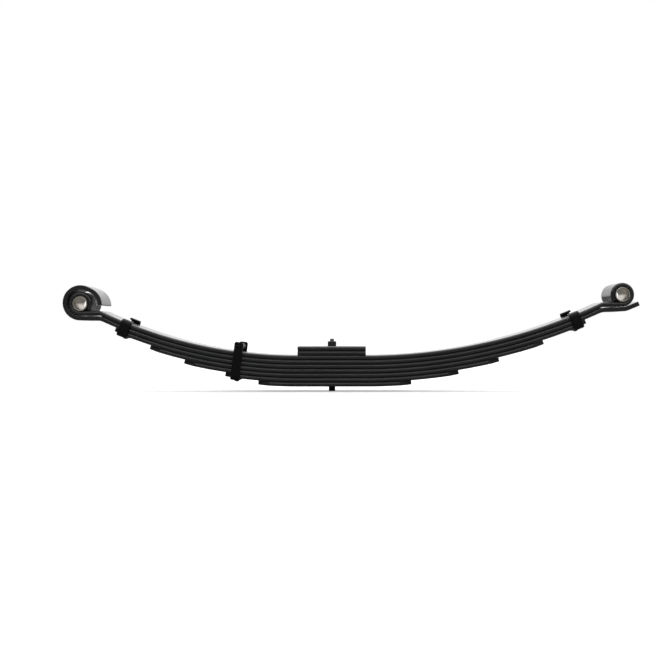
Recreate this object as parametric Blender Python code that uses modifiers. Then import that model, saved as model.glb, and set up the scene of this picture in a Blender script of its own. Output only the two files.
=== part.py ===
"""Heavy truck leaf spring: seven leaves, two spacer plates, centre bolt, eye bushings and rebound clips.

The frame: +X towards the longer half, +Y across the leaves, +Z up, with the origin at the middle of the
bottom face of the centre bolt's head. Dimensions are in millimetres and are turned into metres as the
meshes are made.
"""

import math

import bmesh
import bpy
from mathutils import Matrix, Vector

MM = 0.001
LEFT, RIGHT = -1, 1
SIDES = {"left": LEFT, "right": RIGHT}

# Leaves
LEAF_WIDTH = 88.9
LEAF_THICKNESS = 11.11
LEAF_GAP = 0.32
LEAF_COUNT = 7
LEAF_EDGE_RADIUS = 4.5
CLAMP_HALF_LENGTH = 87.0
ARC_RADIUS = {LEFT: 1168.0, RIGHT: 1406.0}
LEAF_REACH = {
    3: {LEFT: 555.0, RIGHT: 650.6},
    4: {LEFT: 465.5, RIGHT: 542.4},
    5: {LEFT: 378.1, RIGHT: 428.6},
    6: {LEFT: 273.0, RIGHT: 325.3},
    7: {LEFT: 188.7, RIGHT: 204.0},
}
TIP_TRIM_LENGTH = 32.0
TIP_TRIM_DEPTH = 20.0

# Eyes of the main leaf, and the wrapper leaf round them
EYE_REACH = {LEFT: 639.7, RIGHT: 739.6}
EYE_HEIGHT = {LEFT: 224.6, RIGHT: 248.0}
EYE_BORE_RADIUS = 19.05
EYE_ROLL = math.radians(308)
NECK_RADIUS = 15.0
NECK_DIP = {LEFT: math.radians(1.2), RIGHT: 0.0}
LOOP_NECK_RADIUS = 40.0
LOOP_OFFSET = (-0.8, 2.3)
LOOP_RADIUS = 39.35
LOOP_SWEEP = math.radians(205)
LOOP_SIDE_LENGTH = 9.6
LOOP_END_RADIUS = 41.6
LOOP_END_SWEEP = math.radians(65)
TIP_NECK_RADIUS = 60.0
TIP_CLEARANCE = 1.3
TIP_START_RISE = math.radians(1.7)
TIP_RISE = math.radians(23)
TIP_LENGTH = 29.2

# Clamp stack: each plate is dished a little round the bolt, so it bears on its flats beyond the seat's start
SPACER_EDGE_RADIUS = 1.5
SPACER_DISH = 0.05
SEAT_START = 20.0
BOLT_HEAD_RADIUS = 8.5
BOLT_HEAD_HEIGHT = 13.3
BOLT_RADIUS = 5.55
BOLT_CHAMFER = 1.0
BOLT_ABOVE_NUT = 7.0
NUT_ACROSS_FLATS = 22.0
NUT_HEIGHT = 12.3
NUT_FACE_RADIUS = 10.7
NUT_CHAMFER = math.radians(30)

# Eye bushings
BUSHING_RADIUS = 18.6
BUSHING_BORE_RADIUS = 15.9
BUSHING_LENGTH = 89.9
BUSHING_CHAMFER = 0.5

# Rebound clips: where each one stands on its half's arc, and the lowest leaf that it holds
CLIP_THICKNESS = 5.0
CLIP_EDGE_RADIUS = 1.0
CLIP_BEND_RADIUS = 7.0
CLIP_TAB_LENGTH = 17.0
CLIP_TAB_CHAMFER = 3.0
END_CLIP_LEAF = 3
END_CLIP_WIDTH = 25.4
END_CLIP_SLACK = {"near": 0.8, "far": 4.6}
END_CLIP_ANGLE = {LEFT: math.radians(21.8), RIGHT: math.radians(22.1)}
MIDDLE_CLIP_LEAF = 6
MIDDLE_CLIP_WIDTH = 22.5
MIDDLE_CLIP_ANGLE = math.radians(7.4)
MIDDLE_CLIP_RISE = 24.0
MIDDLE_CLIP_CORNER_RADIUS = 5.0
CLIP_SPACER_RADIUS = 8.0
CLIP_SPACER_HEIGHT = 12.5
CLIP_PIN_RADIUS = 5.0
PIN_CHAMFER = 0.8
RIVET_RADIUS = 4.5
RIVET_HEAD_RADIUS = 7.5
RIVET_HEAD_HEIGHT = 5.5

# Axis that the middle clip turns about as the leaves flex: distance out from the centre bolt, and height
MIDDLE_CLIP_PIVOT = (184.0, 53.5)

# Running gap left between neighbouring pieces
GAP = 0.32
CLIP_SIDE_GAP = 0.8

# Fineness of the meshes
ARC_STEP = 36.0
BEND_STEP = math.radians(14)
CLIP_BEND_STEP = math.radians(22.5)
SMOOTH_ANGLE = math.radians(40)
EDGE_ANGLE = math.radians(50)
ROUND_STEPS = 28
CORNER_STEPS = 2
LEAF_EDGE_STEPS = 2
PLATE_EDGE_STEPS = 1
DOME_STEPS = 3

PITCH = LEAF_THICKNESS + LEAF_GAP
STACK_BOTTOM = BOLT_HEAD_HEIGHT + GAP
MAIN_TOP = STACK_BOTTOM + (LEAF_COUNT - 1) * PITCH + LEAF_THICKNESS
STACK_TOP = MAIN_TOP + 2 * PITCH
EYE_MID_RADIUS = EYE_BORE_RADIUS + LEAF_THICKNESS / 2
TIP_RADIUS = EYE_BORE_RADIUS + 1.5 * LEAF_THICKNESS + TIP_CLEARANCE
FLEX_PIVOT = (CLAMP_HALF_LENGTH, MAIN_TOP - LEAF_THICKNESS / 2)

STEEL_BLACK = (0.028, 0.029, 0.032)
CLIP_BLACK = (0.012, 0.012, 0.014)
ZINC_GREY = (0.16, 0.16, 0.17)
BRONZE = (0.56, 0.43, 0.29)


def clear_scene():
    for obj in list(bpy.data.objects):
        bpy.data.objects.remove(obj, do_unlink=True)


def new_collection(name):
    group = bpy.data.collections.new(name)
    bpy.context.scene.collection.children.link(group)
    return group


def finish(obj, colour, roughness, metallic=0.0):
    """Gives the piece its own material."""
    material = bpy.data.materials.new(f"{obj.name}_finish")
    material.use_nodes = True
    shader = material.node_tree.nodes["Principled BSDF"]
    shader.inputs["Base Color"].default_value = (*colour, 1.0)
    shader.inputs["Roughness"].default_value = roughness
    shader.inputs["Metallic"].default_value = metallic
    obj.data.materials.append(material)
    return obj


def add_object(name, mesh, group, matrix=None):
    obj = bpy.data.objects.new(name, mesh)
    group.objects.link(obj)
    if matrix is not None:
        obj.matrix_world = matrix
    return obj


def mesh_from(bm, name):
    mesh = bpy.data.meshes.new(name)
    bm.to_mesh(mesh)
    bm.free()
    mesh.shade_smooth()
    mesh.set_sharp_from_angle(angle=SMOOTH_ANGLE)
    return mesh


class Pen:
    """Draws half of a strip's centreline, outwards from its middle, with the strip's half width."""

    def __init__(self, height, half_width):
        self.out, self.up, self.heading = 0.0, height, 0.0
        self.half_width = half_width
        self.points = [(self.out, self.up, self.half_width)]

    def mark(self):
        self.points.append((self.out, self.up, self.half_width))

    def run(self, length):
        self.out += length * math.cos(self.heading)
        self.up += length * math.sin(self.heading)
        self.mark()

    def bend(self, radius, angle, step=BEND_STEP, narrow=0.0):
        """Turns upwards for a positive angle, and can narrow the strip evenly along the bend."""
        turn = math.copysign(1.0, angle)
        steps = max(1, math.ceil(abs(angle) / step))
        centre_out = self.out - turn * radius * math.sin(self.heading)
        centre_up = self.up + turn * radius * math.cos(self.heading)
        for _ in range(steps):
            self.heading += angle / steps
            self.out = centre_out + turn * radius * math.sin(self.heading)
            self.up = centre_up - turn * radius * math.cos(self.heading)
            self.half_width -= narrow / steps
            self.mark()

    def chamfer_end(self, size):
        """Runs on while both corners of the end are cut off at 45 degrees."""
        self.half_width -= size
        self.run(size)

    def round_end(self, radius):
        """Runs on by one radius while both corners of the end are rounded off."""
        full, back = self.half_width, 0.0
        for i in range(1, CORNER_STEPS + 1):
            along = radius * math.sin(0.5 * math.pi * i / CORNER_STEPS)
            self.half_width = full - radius + math.sqrt(max(radius**2 - along**2, 0.0))
            self.run(along - back)
            back = along


def both_ways(left, right):
    """Joins two half centrelines, which start at the same middle point."""
    return [(-out, up, half) for out, up, half in reversed(left[1:])] + right


def strip(name, points, thickness, edge_radius, edge_steps, group, matrix=None):
    """A bar bent along a centreline in its own XZ plane, as wide along Y as each point says."""
    bm = bmesh.new()
    rows = [[bm.verts.new((x * MM, y * MM, z * MM)) for y in (-half, half)] for x, z, half in points]
    for (a, b), (c, d) in zip(rows, rows[1:]):
        bm.faces.new((a, c, d, b))
    obj = add_object(name, mesh_from(bm, name), group, matrix)
    solid = obj.modifiers.new("thickness", "SOLIDIFY")
    solid.thickness = thickness * MM
    solid.offset = 0.0
    solid.use_even_offset = True
    edges = obj.modifiers.new("round_edges", "BEVEL")
    edges.width = edge_radius * MM
    edges.segments = edge_steps
    edges.limit_method = "ANGLE"
    edges.angle_limit = EDGE_ANGLE
    return obj


def turned(name, profile, group, matrix=None):
    """A body of revolution about its own Z; the profile goes down the outside, in (radius, height)."""
    bm = bmesh.new()
    ring = [bm.verts.new((radius * MM, 0.0, height * MM)) for radius, height in profile]
    for a, b in zip(ring, ring[1:]):
        bm.edges.new((a, b))
    if profile[0][0] > 0.0:
        bm.edges.new((ring[-1], ring[0]))
    obj = add_object(name, mesh_from(bm, name), group, matrix)
    screw = obj.modifiers.new("turn", "SCREW")
    screw.steps = ROUND_STEPS
    screw.render_steps = ROUND_STEPS
    screw.use_merge_vertices = True
    screw.merge_threshold = 0.00001
    return obj


def cut(obj, cutter):
    hole = obj.modifiers.new(f"cut_{cutter.name}", "BOOLEAN")
    hole.operation = "DIFFERENCE"
    hole.solver = "EXACT"
    hole.object = cutter


def hole_cutter(name, radius, bottom, top, group, matrix=None):
    """A cylinder along its own Z, which stays out of the model and cuts holes."""
    profile = [(0.0, top), (radius, top), (radius, bottom), (0.0, bottom)]
    obj = turned(name, profile, group, matrix)
    obj.hide_render = True
    obj.display_type = "WIRE"
    return obj


def leaf_middle(number):
    """Height of a leaf's middle in the clamp; leaf 1 is the main leaf."""
    return STACK_BOTTOM + (LEAF_COUNT - number) * PITCH + LEAF_THICKNESS / 2


def leaf_radius(number, side):
    """Radius of a leaf's middle on one half: the leaves' arcs share a centre."""
    return ARC_RADIUS[side] + LEAF_THICKNESS / 2 + (number - 1) * PITCH


def arc_sweep(radius, reach):
    return math.asin((reach - CLAMP_HALF_LENGTH) / radius)


def start_half(number):
    pen = Pen(leaf_middle(number), LEAF_WIDTH / 2)
    pen.run(CLAMP_HALF_LENGTH)
    return pen


def graduated_half(number, side):
    """Half of a graduated leaf: flat in the clamp, then an arc, with the tip's corners cut off."""
    radius = leaf_radius(number, side)
    sweep = arc_sweep(radius, LEAF_REACH[number][side])
    trim = TIP_TRIM_LENGTH / radius
    pen = start_half(number)
    pen.bend(radius, sweep - trim, ARC_STEP / radius)
    pen.bend(radius, trim, ARC_STEP / radius, TIP_TRIM_DEPTH)
    return pen.points


def bend_to_eye(pen, number, side, centre, roll_radius, neck_radius, dip):
    """Follows the leaf's arc, levels out through the neck, and runs on to where the roll begins.

    The run leads down by the dip angle and touches a circle of roll_radius about the centre. In axes
    turned by the dip, that centre stands one neck and one roll radius above the neck's own centre.
    """
    radius = leaf_radius(number, side)
    both = radius + neck_radius
    to_centre = Vector(centre) - Vector((CLAMP_HALF_LENGTH, leaf_middle(number) + radius))
    along = to_centre.x * math.cos(dip) - to_centre.y * math.sin(dip)
    above = to_centre.x * math.sin(dip) + to_centre.y * math.cos(dip)
    turned_by = math.acos((neck_radius + roll_radius - above) / both)
    pen.bend(radius, turned_by - dip, ARC_STEP / radius)
    pen.bend(neck_radius, -turned_by)
    pen.run(along - both * math.sin(turned_by))


def main_half(side):
    pen = start_half(1)
    centre = (EYE_REACH[side], EYE_HEIGHT[side])
    bend_to_eye(pen, 1, side, centre, EYE_MID_RADIUS, NECK_RADIUS, NECK_DIP[side])
    pen.bend(EYE_MID_RADIUS, EYE_ROLL)
    return pen.points


def wrapper_left_half():
    """The wrapper's left half ends in an open loop round the eye, a little off its centre."""
    pen = start_half(2)
    centre = (EYE_REACH[LEFT] + LOOP_OFFSET[0], EYE_HEIGHT[LEFT] + LOOP_OFFSET[1])
    bend_to_eye(pen, 2, LEFT, centre, LOOP_RADIUS, LOOP_NECK_RADIUS, 0.0)
    pen.bend(LOOP_RADIUS, LOOP_SWEEP)
    pen.run(LOOP_SIDE_LENGTH)
    pen.bend(LOOP_END_RADIUS, LOOP_END_SWEEP)
    return pen.points


def wrapper_right_half():
    """The wrapper's right half passes under the eye and ends in a raised straight tip."""
    pen = start_half(2)
    centre = (EYE_REACH[RIGHT], EYE_HEIGHT[RIGHT])
    bend_to_eye(pen, 2, RIGHT, centre, TIP_RADIUS, TIP_NECK_RADIUS, -TIP_START_RISE)
    pen.bend(TIP_RADIUS, TIP_RISE - TIP_START_RISE)
    pen.run(TIP_LENGTH)
    return pen.points


def arc_place(side, angle, number, above=0.0):
    """Frame on a half's arc, above a leaf's middle: Z towards the arc's centre, X across the leaves."""
    radius = leaf_radius(number, side) - above
    out = CLAMP_HALF_LENGTH + radius * math.sin(angle)
    up = leaf_middle(number) + leaf_radius(number, side) - radius * math.cos(angle)
    turn = Matrix.Rotation(-side * angle, 4, "Y") @ Matrix.Rotation(math.pi / 2, 4, "Z")
    return Matrix.Translation(Vector((side * out, 0.0, up)) * MM) @ turn


def make_leaves(group):
    """All the leaves by number, from the main leaf down."""
    lines = {
        1: ("main_leaf", both_ways(main_half(LEFT), main_half(RIGHT))),
        2: ("wrapper_leaf", both_ways(wrapper_left_half(), wrapper_right_half())),
    }
    for number in LEAF_REACH:
        points = both_ways(graduated_half(number, LEFT), graduated_half(number, RIGHT))
        lines[number] = (f"leaf_{number}", points)
    leaves = {}
    for number, (name, points) in lines.items():
        leaf = strip(name, points, LEAF_THICKNESS, LEAF_EDGE_RADIUS, LEAF_EDGE_STEPS, group)
        leaves[number] = finish(leaf, STEEL_BLACK, 0.4)
    return leaves


def make_spacers(group):
    plates = []
    for level, name in enumerate(("lower_spacer_plate", "upper_spacer_plate"), 1):
        height = leaf_middle(1) + level * PITCH
        half = [(0.0, height - SPACER_DISH, LEAF_WIDTH / 2)]
        half += [(out, height, LEAF_WIDTH / 2) for out in (SEAT_START, CLAMP_HALF_LENGTH)]
        line = both_ways(half, half)
        plate = strip(name, line, LEAF_THICKNESS, SPACER_EDGE_RADIUS, PLATE_EDGE_STEPS, group)
        plates.append(finish(plate, STEEL_BLACK, 0.4))
    return plates


def make_centre_bolt(group):
    top = STACK_TOP + NUT_HEIGHT + BOLT_ABOVE_NUT
    profile = [
        (0.0, top),
        (BOLT_RADIUS - BOLT_CHAMFER, top),
        (BOLT_RADIUS, top - BOLT_CHAMFER),
        (BOLT_RADIUS, BOLT_HEAD_HEIGHT),
        (BOLT_HEAD_RADIUS, BOLT_HEAD_HEIGHT),
        (BOLT_HEAD_RADIUS, BOLT_CHAMFER),
        (BOLT_HEAD_RADIUS - BOLT_CHAMFER, 0.0),
        (0.0, 0.0),
    ]
    return finish(turned("centre_bolt", profile, group), ZINC_GREY, 0.4, 0.8)


def make_nut(group, cutters):
    """A hexagon with two corners on the Y axis, its corners chamfered above and below."""
    corner = NUT_ACROSS_FLATS / math.sqrt(3) * MM
    height = NUT_HEIGHT * MM
    middle = STACK_TOP + GAP + NUT_HEIGHT / 2
    bm = bmesh.new()
    bmesh.ops.create_cone(bm, cap_ends=True, segments=6, radius1=corner, radius2=corner, depth=height)
    place = Matrix.Translation((0.0, 0.0, middle * MM))
    nut = add_object("centre_bolt_nut", mesh_from(bm, "centre_bolt_nut"), group, place)

    half = NUT_HEIGHT / 2
    past_corner = 0.7 * NUT_ACROSS_FLATS
    drop = (past_corner - NUT_FACE_RADIUS) * math.tan(NUT_CHAMFER)
    profile = [
        (0.0, half),
        (NUT_FACE_RADIUS, half),
        (past_corner, half - drop),
        (past_corner, drop - half),
        (NUT_FACE_RADIUS, -half),
        (0.0, -half),
    ]
    chamfer = turned("nut_chamfer", profile, cutters, place)
    chamfer.hide_render = True
    chamfer.display_type = "WIRE"
    trim = nut.modifiers.new("chamfer", "BOOLEAN")
    trim.operation = "INTERSECT"
    trim.solver = "EXACT"
    trim.object = chamfer
    return finish(nut, STEEL_BLACK, 0.35)


def make_bushing(name, side, group):
    """A plain tube across the leaves, chamfered at its four edges."""
    half = BUSHING_LENGTH / 2
    profile = [
        (BUSHING_BORE_RADIUS + BUSHING_CHAMFER, half),
        (BUSHING_RADIUS - BUSHING_CHAMFER, half),
        (BUSHING_RADIUS, half - BUSHING_CHAMFER),
        (BUSHING_RADIUS, BUSHING_CHAMFER - half),
        (BUSHING_RADIUS - BUSHING_CHAMFER, -half),
        (BUSHING_BORE_RADIUS + BUSHING_CHAMFER, -half),
        (BUSHING_BORE_RADIUS, BUSHING_CHAMFER - half),
        (BUSHING_BORE_RADIUS, half - BUSHING_CHAMFER),
    ]
    eye = Vector((side * EYE_REACH[side], 0.0, EYE_HEIGHT[side]))
    place = Matrix.Translation(eye * MM) @ Matrix.Rotation(math.pi / 2, 4, "X")
    return finish(turned(name, profile, group, place), BRONZE, 0.35, 1.0)


def clip_half(lowest_leaf, width):
    """Base and bend of half a clip's strap, in a frame on the middle of the lowest leaf that it holds."""
    base = -(LEAF_THICKNESS / 2 + GAP + CLIP_THICKNESS / 2)
    arm = LEAF_WIDTH / 2 + CLIP_SIDE_GAP + CLIP_THICKNESS / 2
    pen = Pen(base, width / 2)
    pen.run(arm - CLIP_BEND_RADIUS)
    pen.bend(CLIP_BEND_RADIUS, math.pi / 2, CLIP_BEND_STEP)
    main_top = (lowest_leaf - 1) * PITCH + LEAF_THICKNESS / 2
    return pen, main_top


def end_clip_half(slack):
    """The arm is bent over the main leaf's top, into a short tab that stands clear by the slack."""
    pen, main_top = clip_half(END_CLIP_LEAF, END_CLIP_WIDTH)
    tab = main_top + slack + CLIP_THICKNESS / 2
    pen.run(tab - CLIP_BEND_RADIUS - pen.up)
    pen.bend(CLIP_BEND_RADIUS, math.pi / 2, CLIP_BEND_STEP)
    pen.run(CLIP_TAB_LENGTH - CLIP_TAB_CHAMFER)
    pen.chamfer_end(CLIP_TAB_CHAMFER)
    return pen.points


def middle_clip_half():
    """The arm stands straight above the main leaf, with both corners of its end rounded."""
    pen, main_top = clip_half(MIDDLE_CLIP_LEAF, MIDDLE_CLIP_WIDTH)
    pen.run(main_top + MIDDLE_CLIP_RISE - MIDDLE_CLIP_CORNER_RADIUS - pen.up)
    pen.round_end(MIDDLE_CLIP_CORNER_RADIUS)
    return pen.points


def make_rivet(name, place, group):
    """Domed head under the clip's base, with a shank that ends just inside the leaf's top face."""
    head_top = -(LEAF_THICKNESS / 2 + 2 * GAP + CLIP_THICKNESS)
    profile = [(0.0, LEAF_THICKNESS / 2 - GAP), (RIVET_RADIUS, LEAF_THICKNESS / 2 - GAP)]
    profile += [(RIVET_RADIUS, head_top), (RIVET_HEAD_RADIUS, head_top)]
    for i in range(1, DOME_STEPS + 1):
        turn = 0.5 * math.pi * i / DOME_STEPS
        profile.append((RIVET_HEAD_RADIUS * math.cos(turn), head_top - RIVET_HEAD_HEIGHT * math.sin(turn)))
    profile[-1] = (0.0, head_top - RIVET_HEAD_HEIGHT)
    return finish(turned(name, profile, group, place), ZINC_GREY, 0.4, 0.6)


def make_clip(name, line, side, angle, lowest_leaf, leaves, group, cutters):
    """A clip with its rivet; both are drilled for, through the strap and the leaf above it."""
    place = arc_place(side, angle, lowest_leaf)
    clip = strip(name, line, CLIP_THICKNESS, CLIP_EDGE_RADIUS, PLATE_EDGE_STEPS, group, place)
    rivet = make_rivet(f"{name}_rivet", place, group)
    top = (LEAF_THICKNESS + GAP) / 2
    bottom = -(top + CLIP_THICKNESS + PITCH / 2)
    hole = hole_cutter(f"{name}_rivet_hole", RIVET_RADIUS + GAP, bottom, top, cutters, place)
    cut(clip, hole)
    cut(leaves[lowest_leaf], hole)
    return [finish(clip, CLIP_BLACK, 0.45), rivet]


def make_middle_clip_cross_pin(clip, group, cutters):
    """The tube that holds the middle clip's arms apart, and the flush pin through both."""
    rise = (MIDDLE_CLIP_LEAF - 1) * PITCH + LEAF_THICKNESS / 2 + CLIP_SPACER_HEIGHT
    across = Matrix.Rotation(math.pi / 2, 4, "Y")
    place = arc_place(LEFT, MIDDLE_CLIP_ANGLE, MIDDLE_CLIP_LEAF, rise) @ across
    half_inside = LEAF_WIDTH / 2 + CLIP_SIDE_GAP - GAP
    half_pin = LEAF_WIDTH / 2 + CLIP_SIDE_GAP + CLIP_THICKNESS
    bore = CLIP_PIN_RADIUS + GAP
    tube_profile = [
        (bore, half_inside),
        (CLIP_SPACER_RADIUS, half_inside),
        (CLIP_SPACER_RADIUS, -half_inside),
        (bore, -half_inside),
    ]
    pin_profile = [
        (0.0, half_pin),
        (CLIP_PIN_RADIUS - PIN_CHAMFER, half_pin),
        (CLIP_PIN_RADIUS, half_pin - PIN_CHAMFER),
        (CLIP_PIN_RADIUS, PIN_CHAMFER - half_pin),
        (CLIP_PIN_RADIUS - PIN_CHAMFER, -half_pin),
        (0.0, -half_pin),
    ]
    tube = turned("left_middle_clip_spacer", tube_profile, group, place)
    pin = turned("left_middle_clip_pin", pin_profile, group, place)
    reach = half_pin + CLIP_THICKNESS
    cut(clip, hole_cutter("left_middle_clip_pin_hole", bore, -reach, reach, cutters, place))
    return [finish(tube, CLIP_BLACK, 0.4), finish(pin, CLIP_BLACK, 0.4)]


def hang_on(pieces, name, side, pivot, group):
    """Parents the pieces to an empty on the axis that they turn about, and leaves them where they are."""
    empty = bpy.data.objects.new(f"{name}_axis", None)
    empty.empty_display_size = 0.03
    empty.location = Vector((side * pivot[0], 0.0, pivot[1])) * MM
    group.objects.link(empty)
    bpy.context.view_layer.update()
    for piece in pieces:
        placed = piece.matrix_world.copy()
        piece.parent = empty
        piece.matrix_parent_inverse = empty.matrix_world.inverted()
        piece.matrix_world = placed


def make_clamp_stack(leaves, group, cutters):
    """The spacer plates, and the bolt and nut that hold them to the leaves."""
    plates = make_spacers(group)
    make_centre_bolt(group)
    nut = make_nut(group, cutters)
    bolt_hole = hole_cutter("bolt_hole", BOLT_RADIUS + GAP, 0.0, STACK_TOP + 2 * NUT_HEIGHT, cutters)
    for piece in [*leaves.values(), *plates, nut]:
        cut(piece, bolt_hole)


def make_end(side_name, side, leaves, group, cutters):
    """The bushing and the end clip of one half."""
    bushing = make_bushing(f"{side_name}_eye_bushing", side, group)
    hang_on([bushing], f"{side_name}_flex", side, FLEX_PIVOT, group)
    name = f"{side_name}_end_clip"
    angle = END_CLIP_ANGLE[side]
    line = both_ways(*(end_clip_half(END_CLIP_SLACK[arm]) for arm in ("near", "far")))
    pieces = make_clip(name, line, side, angle, END_CLIP_LEAF, leaves, group, cutters)
    hang_on(pieces, name, side, FLEX_PIVOT, group)


def make_middle_clip(leaves, group, cutters):
    name = "left_middle_clip"
    line = both_ways(middle_clip_half(), middle_clip_half())
    pieces = make_clip(name, line, LEFT, MIDDLE_CLIP_ANGLE, MIDDLE_CLIP_LEAF, leaves, group, cutters)
    pieces += make_middle_clip_cross_pin(pieces[0], group, cutters)
    hang_on(pieces, name, LEFT, MIDDLE_CLIP_PIVOT, group)


def main():
    clear_scene()
    spring = new_collection("leaf_spring")
    cutters = new_collection("cutters")
    leaves = make_leaves(spring)
    make_clamp_stack(leaves, spring, cutters)
    for side_name, side in SIDES.items():
        make_end(side_name, side, leaves, spring, cutters)
    make_middle_clip(leaves, spring, cutters)


main()
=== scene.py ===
"""Heavy truck leaf spring in black paint, on a pale studio floor. Lengths are in metres."""

import math

import bmesh
import bpy
from mathutils import Matrix, Vector


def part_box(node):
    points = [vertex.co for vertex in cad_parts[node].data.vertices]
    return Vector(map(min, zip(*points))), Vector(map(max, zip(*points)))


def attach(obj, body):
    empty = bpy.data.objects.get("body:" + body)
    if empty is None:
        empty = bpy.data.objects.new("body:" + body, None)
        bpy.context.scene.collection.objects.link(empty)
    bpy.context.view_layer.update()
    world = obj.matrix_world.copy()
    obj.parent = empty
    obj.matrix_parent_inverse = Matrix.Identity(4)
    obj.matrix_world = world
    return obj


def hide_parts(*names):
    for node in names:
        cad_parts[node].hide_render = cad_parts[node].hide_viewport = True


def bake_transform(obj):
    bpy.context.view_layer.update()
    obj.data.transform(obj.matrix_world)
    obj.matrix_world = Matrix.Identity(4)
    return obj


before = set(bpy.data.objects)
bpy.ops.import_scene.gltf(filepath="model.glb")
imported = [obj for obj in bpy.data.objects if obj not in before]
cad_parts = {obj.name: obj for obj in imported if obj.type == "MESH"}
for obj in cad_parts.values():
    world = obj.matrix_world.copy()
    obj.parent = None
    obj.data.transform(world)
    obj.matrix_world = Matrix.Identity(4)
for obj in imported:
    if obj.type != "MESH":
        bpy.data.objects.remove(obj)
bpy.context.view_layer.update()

MM = 0.001
LEFT, RIGHT = -1, 1
SIDES = {"left": LEFT, "right": RIGHT}


# ---------------------------------------------------------------- sizes read from the frame

def size_of(node):
    low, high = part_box(node)
    return high - low


def middle_of(node):
    low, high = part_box(node)
    return (low + high) / 2


WIDTH = size_of("upper_spacer_plate").y
THICK = size_of("upper_spacer_plate").z
PITCH = middle_of("upper_spacer_plate").z - middle_of("lower_spacer_plate").z
CLAMP = size_of("upper_spacer_plate").x / 2
PACK_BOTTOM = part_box("leaf_7")[0].z
STACK_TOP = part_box("upper_spacer_plate")[1].z
LEAF_COUNT = 7
EYE_CENTRE = {side: middle_of(f"{name}_eye_bushing") for name, side in SIDES.items()}

# ---------------------------------------------------------------- driving dimensions

# Leaves
EDGE_RADIUS = 4.8 * MM
SHEARED_EDGE_RADIUS = 0.7 * MM
FORGED_EDGE_RADIUS = 1.3 * MM
FORGED_BLEND_LENGTH = 60 * MM
FORGED_BEFORE_EYE = 86 * MM
END_ROUND = 0.9 * MM
END_ROUND_TURNS = (30, 60, 90)
FLAT_INSET = 0.25 * MM
SMALLEST_RADIUS = 0.1 * MM
ARC_RADIUS = {LEFT: 1.168, RIGHT: 1.406}
LEAF_REACH = {
    3: {LEFT: 0.5550, RIGHT: 0.6506},
    4: {LEFT: 0.4655, RIGHT: 0.5424},
    5: {LEFT: 0.3781, RIGHT: 0.4286},
    6: {LEFT: 0.2730, RIGHT: 0.3253},
    7: {LEFT: 0.1887, RIGHT: 0.2040},
}
TIP_TRIM_LENGTH = 32 * MM
TIP_TRIM_DEPTH = 20 * MM

# Eyes of the main leaf, and the wrapper leaf round them
EYE_BORE_RADIUS = 19.05 * MM
EYE_ROLL = math.radians(308)
NECK_RADIUS = 15 * MM
NECK_DIP = {LEFT: math.radians(1.2), RIGHT: 0.0}
LOOP_NECK_RADIUS = 40 * MM
LOOP_OFFSET = Vector((-0.8, 2.3)) * MM
LOOP_RADIUS = 39.35 * MM
LOOP_SWEEP = math.radians(205)
LOOP_SIDE_LENGTH = 9.6 * MM
LOOP_END_RADIUS = 41.6 * MM
LOOP_END_SWEEP = math.radians(65)
TIP_NECK_RADIUS = 60 * MM
TIP_CLEARANCE = 1.3 * MM
TIP_START_RISE = math.radians(1.7)
TIP_RISE = math.radians(23)
TIP_LENGTH = 29.2 * MM

# Centre bolt and nut
BOLT_HEAD_RADIUS = 8.5 * MM
BOLT_HEAD_HEIGHT = 13.3 * MM
BOLT_RADIUS = 5.55 * MM
BOLT_HOLE_RADIUS = 5.87 * MM
THREAD_PITCH = 1.27 * MM
THREAD_DEPTH = 0.70 * MM
THREAD_STEEPNESS = 1.15
THREAD_ROWS = 10
THREAD_END_CHAMFER = 1.0 * MM
BOLT_HEAD_FILLET = 1.0 * MM
BOLT_HEAD_CHAMFER = 0.3 * MM
NUT_CORNER_ROUND = 0.5 * MM
NUT_ACROSS_FLATS = 22 * MM
NUT_FACE_RADIUS = 10.4 * MM
NUT_CHAMFER = math.radians(30)

# Rebound clips
CLIP_THICKNESS = 5 * MM
CLIP_EDGE_RADIUS = 1.6 * MM
CLIP_BEND_RADIUS = 7 * MM
CLIP_TAB_LENGTH = 17 * MM
CLIP_TAB_CHAMFER = 3 * MM
CLIP_SIDE_GAP = 0.8 * MM
END_CLIP_SLACK = {"near": 0.8 * MM, "far": 4.6 * MM}
END_CLIP_WIDTH = 25.4 * MM
END_CLIP_LEAF = 3
END_CLIP_ANGLE = {LEFT: math.radians(21.8), RIGHT: math.radians(22.1)}
MIDDLE_CLIP_WIDTH = 22.5 * MM
MIDDLE_CLIP_LEAF = 6
MIDDLE_CLIP_ANGLE = math.radians(7.4)
MIDDLE_CLIP_RISE = 24 * MM
MIDDLE_CLIP_CORNER_RADIUS = 5 * MM
CLIP_SPACER_RADIUS = 8 * MM
CLIP_SPACER_HEIGHT = 12.5 * MM
CLIP_SPACER_CHAMFER = 0.5 * MM
CLIP_PIN_RADIUS = 5 * MM
RIVET_RADIUS = 4.5 * MM
RIVET_HEAD_RADIUS = 7.5 * MM
RIVET_HEAD_HEIGHT = 5.5 * MM
RIVET_HEAD_LIP = 0.4 * MM

# Eye bushings
BUSHING_BORE_RADIUS = 15.9 * MM
BUSHING_CHAMFER = 0.5 * MM

GAP = 0.32 * MM

PAINT_OVER_PLATING = (0.012, 0.012, 0.0125)

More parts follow.
